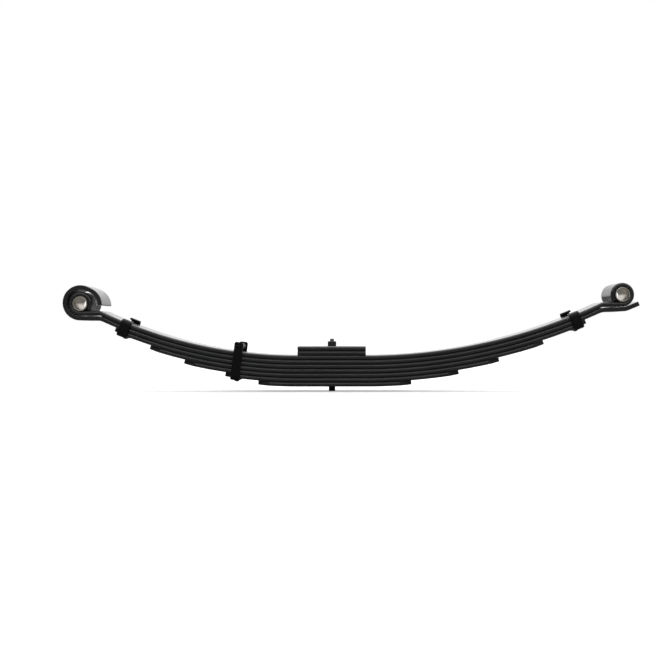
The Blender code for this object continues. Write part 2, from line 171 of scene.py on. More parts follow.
# Stage: brightness of the room and the lamps, and the camera's framing on the spring's near side
FLOOR_HALF_WIDTH = 14.0
BACKDROP = 1.0
ROOM_FRONT = 0.07
ROOM_BACK = 1.5
FRONT_SOFTBOX_POWER = 46.0
TOP_SOFTBOX_POWER = 28.0
CAMERA_DISTANCE = 2.173
FRAMED_WIDTH = 1.66878
CAMERA_SHIFT = (-0.03349, 0.01065)
CAMERA_X = 0.0479
CAMERA_HEIGHT = 0.1578
SENSOR_WIDTH = 36.0
FLOOR_TONE = {"mirrored": 0.2, "seen": 0.75}
FLOOR_GLOW = {"mirrored": 0.0, "seen": 0.42}
OVERHEAD_SHARE = 0.6
ROOM_FADE = (-0.15, 0.35)
LEFT_FADE = (-0.85, -0.35)
LEFT_SHARE = 0.35
LIT_POINT = (0.05, 0.0, 0.15)
FRONT_SOFTBOX_PLACE, FRONT_SOFTBOX_SIZE = (0.05, -2.6, 1.65), (6.0, 0.5)
TOP_SOFTBOX_PLACE, TOP_SOFTBOX_SIZE = (0.1, 0.3, 2.4), (2.6, 1.4)

# Fineness
ARC_STEP = 16 * MM
BEND_STEP = math.radians(5)
CORNER_STEPS = 6
ROUND_STEPS = 72
SMOOTH_ANGLE = math.radians(32)

EYE_MID_RADIUS = EYE_BORE_RADIUS + THICK / 2
TIP_RADIUS = EYE_BORE_RADIUS + 1.5 * THICK + TIP_CLEARANCE


# ---------------------------------------------------------------- meshes

def to_piece(name, bm, material):
    """Ends a bmesh as a scene object at the origin, shaded smooth with sharp edges by angle, with its
    material.
    """
    bmesh.ops.recalc_face_normals(bm, faces=bm.faces)
    mesh = bpy.data.meshes.new(name)
    bm.to_mesh(mesh)
    bm.free()
    mesh.shade_smooth()
    mesh.set_sharp_from_angle(angle=SMOOTH_ANGLE)
    piece = bpy.data.objects.new(name, mesh)
    bpy.context.scene.collection.objects.link(piece)
    mesh.materials.append(material)
    return piece


def keep_rest(piece):
    """Stores where each point lies at rest, so that the finish stays on the surface in every pose."""
    mesh = piece.data
    values = [c for vertex in mesh.vertices for c in vertex.co]
    rest = mesh.attributes.get("rest") or mesh.attributes.new("rest", "FLOAT_VECTOR", "POINT")
    rest.data.foreach_set("vector", values)


def bar_section(half_width, half_thick, radius):
    """Corner-rounded outline of a bar as (across, up, wear), with a point just inside each flat's ends."""
    points = []
    corners = ((1, 1), (-1, 1), (-1, -1), (1, -1))
    for quarter, (sy, sz) in enumerate(corners):
        centre = (sy * (half_width - radius), sz * (half_thick - radius))
        start = quarter * math.pi / 2
        arc = []
        for i in range(CORNER_STEPS + 1):
            turn = start + 0.5 * math.pi * i / CORNER_STEPS
            wear = math.sin(math.pi * i / CORNER_STEPS)
            arc.append((centre[0] + radius * math.cos(turn), centre[1] + radius * math.sin(turn), wear))
        first, last = arc[0], arc[-1]
        lead = (first[0] + FLAT_INSET * math.sin(start), first[1] - FLAT_INSET * math.cos(start), 0.0)
        trail = (last[0] - FLAT_INSET * math.cos(start), last[1] - FLAT_INSET * math.sin(start), 0.0)
        points += [lead, *arc, trail]
    return points


class Pen:
    """Draws half of a bar's centreline, outwards from its middle, as stations for bar_mesh."""

    def __init__(self, height, half_width, radius):
        self.out, self.up, self.heading = 0.0, height, 0.0
        self.half_width, self.radius = half_width, radius
        self.stations = []
        self.mark()

    def mark(self):
        self.stations.append((self.out, self.up, self.heading, self.half_width, self.radius))

    def run(self, length, step=ARC_STEP):
        steps = max(1, math.ceil(length / step - 1e-6))
        for _ in range(steps):
            self.out += length / steps * math.cos(self.heading)
            self.up += length / steps * math.sin(self.heading)
            self.mark()

    def bend(self, radius, angle, step=BEND_STEP, shape=None):
        """Turns upwards for a positive angle; shape sets the section as a function of the length run."""
        turn = math.copysign(1.0, angle)
        steps = max(1, math.ceil(abs(angle) / step - 1e-6))
        centre_out = self.out - turn * radius * math.sin(self.heading)
        centre_up = self.up + turn * radius * math.cos(self.heading)
        for i in range(1, steps + 1):
            self.heading += angle / steps
            self.out = centre_out + turn * radius * math.sin(self.heading)
            self.up = centre_up - turn * radius * math.cos(self.heading)
            if shape:
                self.half_width, self.radius = shape(radius * abs(angle) * i / steps)
            self.mark()


def ring_points(station, half_thick, place, side, inset=0.0):
    out, up, heading, half_width, radius = station
    section = bar_section(half_width - inset, half_thick - inset, max(radius - inset, SMALLEST_RADIUS))
    ring = []
    for across, above, wear in section:
        x = out - above * math.sin(heading)
        z = up + above * math.cos(heading)
        ring.append((place @ Vector((side * x, across, z)), wear))
    return ring


def bar_mesh(stations, half_thick, side=RIGHT, place=Matrix.Identity(4), round_start=False):
    """A closed bar through the stations, with its far end slightly rounded."""
    bm = bmesh.new()
    wear_layer = bm.verts.layers.float.new("wear")

    def moved(station, along):
        out, up, heading, half_width, radius = station
        return (out + along * math.cos(heading), up + along * math.sin(heading), heading, half_width, radius)

    body = [(station, 0.0) for station in stations]
    last = moved(stations[-1], -END_ROUND)
    tail = [(last, 0.0)]
    for turn in END_ROUND_TURNS:
        inset = END_ROUND * (1 - math.cos(math.radians(turn)))
        tail.append((moved(last, END_ROUND * math.sin(math.radians(turn))), inset))
    line = body[:-1] + tail
    if round_start:
        first = moved(stations[0], END_ROUND)
        head = []
        for turn in reversed(END_ROUND_TURNS):
            inset = END_ROUND * (1 - math.cos(math.radians(turn)))
            head.append((moved(first, -END_ROUND * math.sin(math.radians(turn))), inset))
        line = head + [(first, 0.0)] + line[1:]

    rings = []
    for station, inset in line:
        ring = []
        for point, wear in ring_points(station, half_thick, place, side, inset):
            vertex = bm.verts.new(point)
            vertex[wear_layer] = wear if inset == 0.0 else 1.0
            ring.append(vertex)
        rings.append(ring)
    for a, b in zip(rings, rings[1:]):
        for i in range(len(a)):
            j = (i + 1) % len(a)
            bm.faces.new((a[i], a[j], b[j], b[i]))
    bm.faces.new(rings[0])
    bm.faces.new(rings[-1])
    return bm


def turned_mesh(profile, place=Matrix.Identity(4), steps=ROUND_STEPS):
    """A body of revolution about its own Z from (radius, height, wear).

    A profile that starts off the axis closes on itself.
    """
    bm = bmesh.new()
    wear_layer = bm.verts.layers.float.new("wear")
    rings = []
    for radius, height, wear in profile:
        count = steps if radius > 1e-7 else 1
        ring = []
        for i in range(count):
            turn = 2 * math.pi * i / count
            vertex = bm.verts.new(place @ Vector((radius * math.cos(turn), radius * math.sin(turn), height)))
            vertex[wear_layer] = wear
            ring.append(vertex)
        rings.append(ring)
    pairs = list(zip(rings, rings[1:]))
    if profile[0][0] > 1e-7:
        pairs.append((rings[-1], rings[0]))
    for a, b in pairs:
        for i in range(steps):
            j = (i + 1) % steps
            corners = [a[i % len(a)], a[j % len(a)], b[j % len(b)], b[i % len(b)]]
            bm.faces.new(list(dict.fromkeys(corners)))
    return bm


def drill(piece, radius, place, bottom, top):
    """Cuts a round hole along the place's Z, and leaves no modifier."""
    cutter_mesh = turned_mesh([(0, top, 0), (radius, top, 0), (radius, bottom, 0), (0, bottom, 0)], place)
    bmesh.ops.recalc_face_normals(cutter_mesh, faces=cutter_mesh.faces)
    mesh = bpy.data.meshes.new("cutter")
    cutter_mesh.to_mesh(mesh)
    cutter_mesh.free()
    cutter = bpy.data.objects.new("cutter", mesh)
    bpy.context.scene.collection.objects.link(cutter)
    hole = piece.modifiers.new("hole", "BOOLEAN")
    hole.operation = "DIFFERENCE"
    hole.solver = "EXACT"
    hole.object = cutter
    apply_modifiers(piece)
    bpy.data.objects.remove(cutter)


def apply_modifiers(piece):
    graph = bpy.context.evaluated_depsgraph_get()
    mesh = bpy.data.meshes.new_from_object(piece.evaluated_get(graph))
    piece.modifiers.clear()
    piece.data = mesh


# ---------------------------------------------------------------- leaves

def leaf_middle(number):
    return PACK_BOTTOM + (LEAF_COUNT - number) * PITCH + THICK / 2


def leaf_radius(number, side):
    return ARC_RADIUS[side] + THICK / 2 + (number - 1) * PITCH


def start_half(number):
    pen = Pen(leaf_middle(number), WIDTH / 2, EDGE_RADIUS)
    pen.run(CLAMP)
    return pen


def graduated_half(number, side):
    """Flat in the clamp, then an arc whose end has both corners sheared off, down to square edges."""
    radius = leaf_radius(number, side)
    sweep = math.asin((LEAF_REACH[number][side] - CLAMP) / radius)
    square_after = TIP_TRIM_LENGTH * EDGE_RADIUS / TIP_TRIM_DEPTH

    def sheared(length):
        depth = TIP_TRIM_DEPTH * length / TIP_TRIM_LENGTH
        edge = EDGE_RADIUS + (SHEARED_EDGE_RADIUS - EDGE_RADIUS) * min(length / square_after, 1.0)
        return WIDTH / 2 - depth, edge

    pen = start_half(number)
    trim = TIP_TRIM_LENGTH / radius
    pen.bend(radius, sweep - trim, ARC_STEP / radius)
    pen.bend(radius, trim, square_after / 4 / radius, sheared)
    return pen.stations


def bend_to_eye(pen, number, side, centre, roll_radius, neck_radius, dip):
    """Follows the leaf's arc, levels out through the neck, and runs on to where the roll begins."""
    radius = leaf_radius(number, side)
    both = radius + neck_radius
    to_centre = centre - Vector((CLAMP, leaf_middle(number) + radius))
    along = to_centre.x * math.cos(dip) - to_centre.y * math.sin(dip)
    above = to_centre.x * math.sin(dip) + to_centre.y * math.cos(dip)
    turned_by = math.acos((neck_radius + roll_radius - above) / both)
    pen.bend(radius, turned_by - dip, ARC_STEP / radius)
    pen.bend(neck_radius, -turned_by)
    pen.run(along - both * math.sin(turned_by))


def eye_point(side):
    """The eye's centre as (distance out, height)."""
    return Vector((abs(EYE_CENTRE[side].x), EYE_CENTRE[side].z))


def main_half(side):
    pen = start_half(1)
    bend_to_eye(pen, 1, side, eye_point(side), EYE_MID_RADIUS, NECK_RADIUS, NECK_DIP[side])
    pen.bend(EYE_MID_RADIUS, EYE_ROLL)
    return pen.stations


def forged_end(stations, side):
    """The same stations, with the bar's edges drawn down nearly square from just before the eye."""
    start = eye_point(side).x - FORGED_BEFORE_EYE
    share = 0.0
    shaped = []
    for out, up, heading, half_width, radius in stations:
        share = max(share, min((out - start) / FORGED_BLEND_LENGTH, 1.0))
        edge = radius + (FORGED_EDGE_RADIUS - radius) * share
        shaped.append((out, up, heading, half_width, edge))
    return shaped


def wrapper_left_half():
    """Ends in an open loop round the eye, a little off its centre."""
    pen = start_half(2)
    bend_to_eye(pen, 2, LEFT, eye_point(LEFT) + LOOP_OFFSET, LOOP_RADIUS, LOOP_NECK_RADIUS, 0.0)
    pen.bend(LOOP_RADIUS, LOOP_SWEEP)
    pen.run(LOOP_SIDE_LENGTH)
    pen.bend(LOOP_END_RADIUS, LOOP_END_SWEEP)
    return forged_end(pen.stations, LEFT)


def wrapper_right_half():
    """Passes under the eye and ends in a raised straight tip."""
    pen = start_half(2)
    bend_to_eye(pen, 2, RIGHT, eye_point(RIGHT), TIP_RADIUS, TIP_NECK_RADIUS, -TIP_START_RISE)
    pen.bend(TIP_RADIUS, TIP_RISE - TIP_START_RISE)
    pen.run(TIP_LENGTH)
    return forged_end(pen.stations, RIGHT)


def arc_place(side, angle, number, above=0.0):
    """Frame on a half's arc, above a leaf's middle: Z towards the arc's centre, X across the leaves."""
    radius = leaf_radius(number, side) - above
    out = CLAMP + radius * math.sin(angle)
    up = leaf_middle(number) + leaf_radius(number, side) - radius * math.cos(angle)
    turn = Matrix.Rotation(-side * angle, 4, "Y") @ Matrix.Rotation(math.pi / 2, 4, "Z")
    return Matrix.Translation((side * out, 0.0, up)) @ turn


def flex(piece):
    """Bakes the half's placement into its mesh, and leaves the object at the origin."""
    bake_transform(piece)


def make_leaf_halves(material):
    halves = {
        "main_leaf": (main_half(LEFT), main_half(RIGHT)),
        "wrapper_leaf": (wrapper_left_half(), wrapper_right_half()),
    }
    for number in LEAF_REACH:
        halves[f"leaf_{number}"] = (graduated_half(number, LEFT), graduated_half(number, RIGHT))
    for node, pair in halves.items():
        for (side_name, side), stations in zip(SIDES.items(), pair):
            bm = bar_mesh(stations, THICK / 2, side)
            half = to_piece(f"{node}_{side_name}_half", bm, material)
            drill(half, BOLT_HOLE_RADIUS, Matrix.Identity(4), 0.0, 2 * STACK_TOP)
            drill_for_rivets(half, node, side)
            keep_rest(half)
            flex(half)
            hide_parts(node)


def drill_for_rivets(half, node, side):
    if node == f"leaf_{END_CLIP_LEAF}":
        drill_for_rivet(half, arc_place(side, END_CLIP_ANGLE[side], END_CLIP_LEAF))
    if node == f"leaf_{MIDDLE_CLIP_LEAF}" and side == LEFT:
        drill_for_rivet(half, arc_place(LEFT, MIDDLE_CLIP_ANGLE, MIDDLE_CLIP_LEAF))


def drill_for_rivet(piece, place):
    reach = THICK / 2 + CLIP_THICKNESS + PITCH / 2
    drill(piece, RIVET_RADIUS + GAP, place, -reach, (THICK + GAP) / 2)


# ---------------------------------------------------------------- clamp stack

def make_spacer_plates(material):
    for node in ("lower_spacer_plate", "upper_spacer_plate"):
        height = middle_of(node).z
        stations = [(side * CLAMP, height, 0.0, WIDTH / 2, EDGE_RADIUS) for side in (LEFT, RIGHT)]
        plate = to_piece(node, bar_mesh(stations, THICK / 2, round_start=True), material)
        drill(plate, BOLT_HOLE_RADIUS, Matrix.Identity(4), 0.0, 2 * STACK_TOP)
        keep_rest(plate)
        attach(plate, "leaf_pack")
        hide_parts(node)


def thread_rings(bottom, top, radius):
    """A right-hand thread as rings of points, run out below and chamfered at the top."""
    rings = []
    rows = math.ceil((top - bottom) / (THREAD_PITCH / THREAD_ROWS))
    for row in range(rows + 1):
        height = bottom + (top - bottom) * row / rows
        limit = radius - THREAD_END_CHAMFER + (top - height)
        ring = []
        for i in range(ROUND_STEPS):
            phase = (height / THREAD_PITCH - i / ROUND_STEPS) % 1.0
            groove = max(0.0, 1.0 - abs(phase - 0.5) * 2 * THREAD_STEEPNESS)
            run_in = min(1.0, (height - bottom) / THREAD_PITCH)
            depth = THREAD_DEPTH * groove * run_in
            ring.append((min(radius - depth, limit), height, 2 * math.pi * i / ROUND_STEPS))
        rings.append(ring)
    return rings


def make_centre_bolt(material):
    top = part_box("centre_bolt")[1].z
    fillet = BOLT_HEAD_FILLET
    bm = bmesh.new()
    wear_layer = bm.verts.layers.float.new("wear")
    plain = [(0.0, 0.0), (BOLT_HEAD_RADIUS - fillet, 0.0)]
    for i in range(1, CORNER_STEPS + 1):
        turn = 0.5 * math.pi * i / CORNER_STEPS
        plain.append((BOLT_HEAD_RADIUS - fillet * (1 - math.sin(turn)), fillet * (1 - math.cos(turn))))
    plain += [
        (BOLT_HEAD_RADIUS, BOLT_HEAD_HEIGHT - BOLT_HEAD_CHAMFER),
        (BOLT_HEAD_RADIUS - BOLT_HEAD_CHAMFER, BOLT_HEAD_HEIGHT),
        (BOLT_RADIUS, BOLT_HEAD_HEIGHT),
    ]
    angles = [2 * math.pi * i / ROUND_STEPS for i in range(ROUND_STEPS)]
    rings = [[(radius, height, angle) for angle in angles] for radius, height in plain[1:]]
    rings += thread_rings(STACK_TOP, top, BOLT_RADIUS)
    made = []
    for ring in rings:
        made.append([bm.verts.new((r * math.cos(a), r * math.sin(a), z)) for r, z, a in ring])
    for a, b in zip(made, made[1:]):
        for i in range(ROUND_STEPS):
            j = (i + 1) % ROUND_STEPS
            bm.faces.new((a[i], a[j], b[j], b[i]))
    bm.faces.new(made[0])
    bm.faces.new(made[-1])
    for vertex in bm.verts:
        vertex[wear_layer] = 1.0 if vertex.co.z <= BOLT_HEAD_HEIGHT else 0.0
    bolt = to_piece("centre_bolt", bm, material)
    keep_rest(bolt)
    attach(bolt, "leaf_pack")
    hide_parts("centre_bolt")


def make_nut(material):
    """A hexagon with softened corners, turned down to a round face above and below, and drilled."""
    low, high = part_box("centre_bolt_nut")
    middle = Matrix.Translation((0.0, 0.0, (low.z + high.z) / 2))
    half = (high.z - low.z) / 2
    corner = NUT_ACROSS_FLATS / math.sqrt(3)
    bm = bmesh.new()
    bmesh.ops.create_cone(
        bm, cap_ends=True, segments=6, radius1=corner, radius2=corner, depth=2 * half, matrix=middle
    )
    upright = [edge for edge in bm.edges if abs(edge.verts[0].co.z - edge.verts[1].co.z) > half]
    bmesh.ops.bevel(bm, geom=upright, offset=NUT_CORNER_ROUND, segments=3, affect="EDGES")
    bm.verts.layers.float.new("wear")
    nut = to_piece("centre_bolt_nut", bm, material)

    past_corner = 0.7 * NUT_ACROSS_FLATS
    drop = (past_corner - NUT_FACE_RADIUS) * math.tan(NUT_CHAMFER)
    profile = [
        (0, half, 0),
        (NUT_FACE_RADIUS, half, 0),
        (past_corner, half - drop, 0),
        (past_corner, drop - half, 0),
        (NUT_FACE_RADIUS, -half, 0),
        (0, -half, 0),
    ]
    turned = turned_mesh(profile, middle)
    bmesh.ops.recalc_face_normals(turned, faces=turned.faces)
    mesh = bpy.data.meshes.new("chamfer")
    turned.to_mesh(mesh)
    turned.free()
    chamfer = bpy.data.objects.new("chamfer", mesh)
    bpy.context.scene.collection.objects.link(chamfer)
    trim = nut.modifiers.new("trim", "BOOLEAN")
    trim.operation = "INTERSECT"
    trim.solver = "EXACT"
    trim.object = chamfer
    apply_modifiers(nut)
    bpy.data.objects.remove(chamfer)
    drill(nut, BOLT_HOLE_RADIUS, Matrix.Identity(4), 0.0, 2 * STACK_TOP)
    keep_rest(nut)
    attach(nut, "leaf_pack")
    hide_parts("centre_bolt_nut")


# ---------------------------------------------------------------- eye bushings

def make_bushing(side_name, side, material):
    """A plain tube with chamfered mouths and softened rims."""
    node = f"{side_name}_eye_bushing"
    low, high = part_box(node)
    outer = (high.z - low.z) / 2
    half = (high.y - low.y) / 2
    inner = BUSHING_BORE_RADIUS
    chamfer = BUSHING_CHAMFER
    profile = []
    for end in (1, -1):
        rim = [
            (inner, end * (half - 1.4 * chamfer), 0),
            (inner + 0.35 * chamfer, end * (half - 0.5 * chamfer), 0),
            (inner + chamfer, end * half, 0),
            (outer - chamfer, end * half, 0),
            (outer, end * (half - chamfer), 0),
        ]
        profile += rim if end == 1 else rim[::-1]
    place = Matrix.Translation(EYE_CENTRE[side]) @ Matrix.Rotation(math.pi / 2, 4, "X")
    bushing = to_piece(node, turned_mesh(profile, place, 2 * ROUND_STEPS), material)
    keep_rest(bushing)
    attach(bushing, f"{side_name}_eye")
    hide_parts(node)


# ---------------------------------------------------------------- rebound clips

def clip_start(lowest_leaf, width):
    """Base and bend of half a clip's strap, in a frame on the middle of the lowest leaf that it holds."""
    base = -(THICK / 2 + GAP + CLIP_THICKNESS / 2)
    arm = WIDTH / 2 + CLIP_SIDE_GAP + CLIP_THICKNESS / 2
    pen = Pen(base, width / 2, CLIP_EDGE_RADIUS)
    pen.run(arm - CLIP_BEND_RADIUS)
    pen.bend(CLIP_BEND_RADIUS, math.pi / 2, 2 * BEND_STEP)
    return pen, (lowest_leaf - 1) * PITCH + THICK / 2


def end_clip_half(slack):
    """The arm is bent over the main leaf's top, into a short tab that stands clear by the slack."""
    pen, main_top = clip_start(END_CLIP_LEAF, END_CLIP_WIDTH)
    pen.run(main_top + slack + CLIP_THICKNESS / 2 - CLIP_BEND_RADIUS - pen.up)
    pen.bend(CLIP_BEND_RADIUS, math.pi / 2, 2 * BEND_STEP)
    pen.run(CLIP_TAB_LENGTH - CLIP_TAB_CHAMFER)
    pen.half_width -= CLIP_TAB_CHAMFER
    pen.run(CLIP_TAB_CHAMFER)
    return pen.stations


def middle_clip_half():
    """The arm stands straight above the main leaf, with both corners of its end rounded."""
    pen, main_top = clip_start(MIDDLE_CLIP_LEAF, MIDDLE_CLIP_WIDTH)
    corner = MIDDLE_CLIP_CORNER_RADIUS
    pen.run(main_top + MIDDLE_CLIP_RISE - corner - pen.up)
    full, back = pen.half_width, 0.0
    for i in range(1, CORNER_STEPS + 1):
        along = corner * math.sin(0.5 * math.pi * i / CORNER_STEPS)
        pen.half_width = full - corner + math.sqrt(max(corner**2 - along**2, 0.0))
        pen.run(along - back)
        back = along
    return pen.stations


def make_strap(node, near, far, place, material):
    """Both halves of a clip's strap in one bar; the line runs across the leaves in the clip's frame."""
    mirrored = [(-out, up, -heading, wide, radius) for out, up, heading, wide, radius in reversed(near[1:])]
    bm = bar_mesh(mirrored + far, CLIP_THICKNESS / 2, RIGHT, place, round_start=True)
    strap = to_piece(node, bm, material)
    drill_for_rivet(strap, place)
    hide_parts(node)
    return strap


def make_rivet(node, place, body, material):
    """Domed head under the clip, with a small flat lip, and a shank into the leaf."""
    head_top = -(THICK / 2 + 2 * GAP + CLIP_THICKNESS)
    lip = RIVET_HEAD_LIP
    profile = [
        (0, THICK / 2 - GAP, 0),
        (RIVET_RADIUS, THICK / 2 - GAP, 0),
        (RIVET_RADIUS, head_top, 0),
        (RIVET_HEAD_RADIUS, head_top, 0),
        (RIVET_HEAD_RADIUS, head_top - lip, 0),
    ]
    steps = 2 * CORNER_STEPS
    for i in range(1, steps):
        turn = 0.5 * math.pi * i / steps
        drop = lip + (RIVET_HEAD_HEIGHT - lip) * math.sin(turn)
        profile.append((RIVET_HEAD_RADIUS * math.cos(turn), head_top - drop, 0))
    profile.append((0, head_top - RIVET_HEAD_HEIGHT, 0))
    rivet = to_piece(node, turned_mesh(profile, place), material)
    keep_rest(rivet)
    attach(rivet, body)
    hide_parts(node)


def make_clips(clip_material, rivet_material):
    near, far = (end_clip_half(END_CLIP_SLACK[arm]) for arm in ("near", "far"))
    for side_name, side in SIDES.items():
        node = f"{side_name}_end_clip"
        place = arc_place(side, END_CLIP_ANGLE[side], END_CLIP_LEAF)
        strap = make_strap(node, near, far, place, clip_material)
        keep_rest(strap)
        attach(strap, f"{node}_group")
        make_rivet(f"{node}_rivet", place, f"{node}_group", rivet_material)

    node, body = "left_middle_clip", "left_middle_clip_group"
    place = arc_place(LEFT, MIDDLE_CLIP_ANGLE, MIDDLE_CLIP_LEAF)
    strap = make_strap(node, middle_clip_half(), middle_clip_half(), place, clip_material)
    rise = (MIDDLE_CLIP_LEAF - 1) * PITCH + THICK / 2 + CLIP_SPACER_HEIGHT
    across = arc_place(LEFT, MIDDLE_CLIP_ANGLE, MIDDLE_CLIP_LEAF, rise) @ Matrix.Rotation(math.pi / 2, 4, "Y")
    drill(strap, CLIP_PIN_RADIUS + GAP, across, -WIDTH, WIDTH)
    keep_rest(strap)
    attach(strap, body)
    make_rivet(f"{node}_rivet", place, body, rivet_material)
    make_cross_pin(across, body, clip_material)


def make_cross_pin(place, body, material):
    """The tube that holds the middle clip's arms apart, and the pin peened flush in both."""
    half_tube = WIDTH / 2 + CLIP_SIDE_GAP - GAP
    half_pin = WIDTH / 2 + CLIP_SIDE_GAP + CLIP_THICKNESS
    bore = CLIP_PIN_RADIUS + GAP
    soft = CLIP_SPACER_CHAMFER
    tube_profile = [
        (bore, half_tube, 0),
        (CLIP_SPACER_RADIUS - soft, half_tube, 0),
        (CLIP_SPACER_RADIUS, half_tube - soft, 0),
        (CLIP_SPACER_RADIUS, soft - half_tube, 0),
        (CLIP_SPACER_RADIUS - soft, -half_tube, 0),
        (bore, -half_tube, 0),
    ]
    pin_end = [(0, 0.0), (0.55, 0.10), (0.82, 0.35), (0.95, 0.75), (1.0, 1.4)]
    top = [(CLIP_PIN_RADIUS * share, half_pin - drop * MM, 0) for share, drop in pin_end]
    bottom = [(radius, -height, 0) for radius, height, _ in reversed(top)]
    for name, profile in (("left_middle_clip_spacer", tube_profile), ("left_middle_clip_pin", top + bottom)):
        piece = to_piece(name, turned_mesh(profile, place), material)
        keep_rest(piece)
        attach(piece, body)
        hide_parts(name)


# ---------------------------------------------------------------- materials

class Finish:
    """A material's node tree, and the few nodes that every finish here is built from."""

    def __init__(self, name, roughness, metallic, specular):
        self.material = bpy.data.materials.new(name)
        self.material.use_nodes = True
        self.tree = self.material.node_tree
        self.shader = self.tree.nodes["Principled BSDF"]
        self.shader.inputs["Metallic"].default_value = metallic
        self.shader.inputs["Roughness"].default_value = roughness
        self.shader.inputs["Specular IOR Level"].default_value = specular
        self.rest = self.attribute("rest").outputs["Vector"]

    def attribute(self, name):
        node = self.tree.nodes.new("ShaderNodeAttribute")
        node.attribute_name = name
        return node

    def link(self, source, target):
        self.tree.links.new(source, target)

    def noise(self, scale, detail=3.0, roughness=0.55, stretch=(1, 1, 1)):
        mapping = self.tree.nodes.new("ShaderNodeMapping")
        mapping.inputs["Scale"].default_value = stretch
        self.link(self.rest, mapping.inputs["Vector"])
        node = self.tree.nodes.new("ShaderNodeTexNoise")
        node.inputs["Scale"].default_value = scale
        node.inputs["Detail"].default_value = detail
        node.inputs["Roughness"].default_value = roughness
        self.link(mapping.outputs["Vector"], node.inputs["Vector"])
        return node.outputs["Fac"]

    def spread(self, source, low, high, to_low=0.0, to_high=1.0):
        node = self.tree.nodes.new("ShaderNodeMapRange")
        node.inputs["From Min"].default_value = low
        node.inputs["From Max"].default_value = high
        node.inputs["To Min"].default_value = to_low
        node.inputs["To Max"].default_value = to_high
        self.link(source, node.inputs["Value"])
        return node.outputs["Result"]

    def times(self, a, b):
        node = self.tree.nodes.new("ShaderNodeMath")
        node.operation = "MULTIPLY"
        self.link(a, node.inputs[0])
        self.link(b, node.inputs[1])
        return node.outputs["Value"]

    def mix(self, share, a, b):
        """Colour a where share is 0 and b where it is 1; each is a colour or another node's output."""
        node = self.tree.nodes.new("ShaderNodeMix")
        node.data_type = "RGBA"
        self.link(share, node.inputs["Factor"])
        for value, socket in ((a, node.inputs[6]), (b, node.inputs[7])):
            if isinstance(value, tuple):
                socket.default_value = (*value, 1.0)
            else:
                self.link(value, socket)
        return node.outputs[2]

    def bump(self, height, depth, before=None):
        node = self.tree.nodes.new("ShaderNodeBump")
        node.inputs["Strength"].default_value = 1.0
        node.inputs["Distance"].default_value = depth
        self.link(height, node.inputs["Height"])
        if before:
            self.link(before, node.inputs["Normal"])
        return node.outputs["Normal"]

    def end(self, colour, roughness, normal):
        self.link(colour, self.shader.inputs["Base Color"])
        self.link(roughness, self.shader.inputs["Roughness"])
        self.link(normal, self.shader.inputs["Normal"])
        return self.material


def painted_steel(name, dark, light, worn, rough_low, rough_high, specular, wear, coat):
    """Sprayed black paint: faint mottling, orange peel, and a little rub-through along the bar's edges."""
    finish = Finish(name, rough_low, 0.0, specular)
    finish.shader.inputs["Coat Weight"].default_value = coat
    finish.shader.inputs["Coat Roughness"].default_value = 0.16
    mottle = finish.noise(14, 4.0)
    patches = finish.spread(finish.noise(90, 5.0, 0.62), 0.56, 0.72)
    edge = finish.attribute("wear").outputs["Fac"]
    rubbed = finish.times(finish.times(patches, edge), finish.spread(mottle, 0.4, 0.62, 0.0, wear))
    colour = finish.mix(finish.spread(mottle, 0.3, 0.7), dark, light)
    colour = finish.mix(rubbed, colour, worn)
    roughness = finish.spread(finish.noise(38, 4.0), 0.3, 0.7, rough_low, rough_high)
    scale_marks = finish.bump(finish.noise(150, 4.0, 0.6), 0.00006)
    normal = finish.bump(finish.noise(900, 2.0), 0.00002, scale_marks)
    return finish.end(colour, roughness, normal)


def bare_steel(name, dark, light, rough_low, rough_high, metallic):
    """Dull plated fastener: cloudy plating over fine tool marks, painted black where wear is 1."""
    finish = Finish(name, rough_low, metallic, 0.5)
    cloud = finish.noise(260, 4.0, 0.6)
    colour = finish.mix(finish.spread(cloud, 0.35, 0.65), dark, light)
    colour = finish.mix(finish.attribute("wear").outputs["Fac"], colour, PAINT_OVER_PLATING)
    roughness = finish.spread(finish.noise(420, 3.0), 0.3, 0.7, rough_low, rough_high)
    normal = finish.bump(finish.noise(1500, 3.0), 0.00002)
    return finish.end(colour, roughness, normal)


def bushing_bronze(name):
    """Machined bronze: fine turning rings along its length, and a faint change of tone."""
    finish = Finish(name, 0.3, 1.0, 0.5)
    rings = finish.noise(700, 2.0, 0.5, (0.02, 1, 0.02))
    tone = finish.spread(finish.noise(45, 3.0), 0.3, 0.7)
    colour = finish.mix(tone, (0.43, 0.40, 0.355), (0.53, 0.50, 0.45))
    roughness = finish.spread(rings, 0.3, 0.7, 0.34, 0.48)
    normal = finish.bump(rings, 0.00003)
    return finish.end(colour, roughness, normal)


# ---------------------------------------------------------------- stage

def make_floor():
    """A wide floor, pale to the camera with a faint shadow, and greyer where the spring mirrors it."""
    bm = bmesh.new()
    bmesh.ops.create_grid(bm, x_segments=1, y_segments=1, size=FLOOR_HALF_WIDTH)
    mesh = bpy.data.meshes.new("floor")
    bm.to_mesh(mesh)
    bm.free()
    floor = bpy.data.objects.new("floor", mesh)
    bpy.context.scene.collection.objects.link(floor)
    floor.location.z = -GAP
    material = bpy.data.materials.new("floor_paint")
    material.use_nodes = True
    tree = material.node_tree
    shader = tree.nodes["Principled BSDF"]
    shader.inputs["Roughness"].default_value = 0.9
    shader.inputs["Specular IOR Level"].default_value = 0.0
    shader.inputs["Emission Color"].default_value = (1.0, 1.0, 1.0, 1.0)
    path = tree.nodes.new("ShaderNodeLightPath")
    for socket, level in (("Base Color", FLOOR_TONE), ("Emission Strength", FLOOR_GLOW)):
        tone = tree.nodes.new("ShaderNodeMapRange")
        tone.inputs["To Min"].default_value = level["mirrored"]
        tone.inputs["To Max"].default_value = level["seen"]
        tree.links.new(path.outputs["Is Camera Ray"], tone.inputs["Value"])
        tree.links.new(tone.outputs["Result"], shader.inputs[socket])
    mesh.materials.append(material)


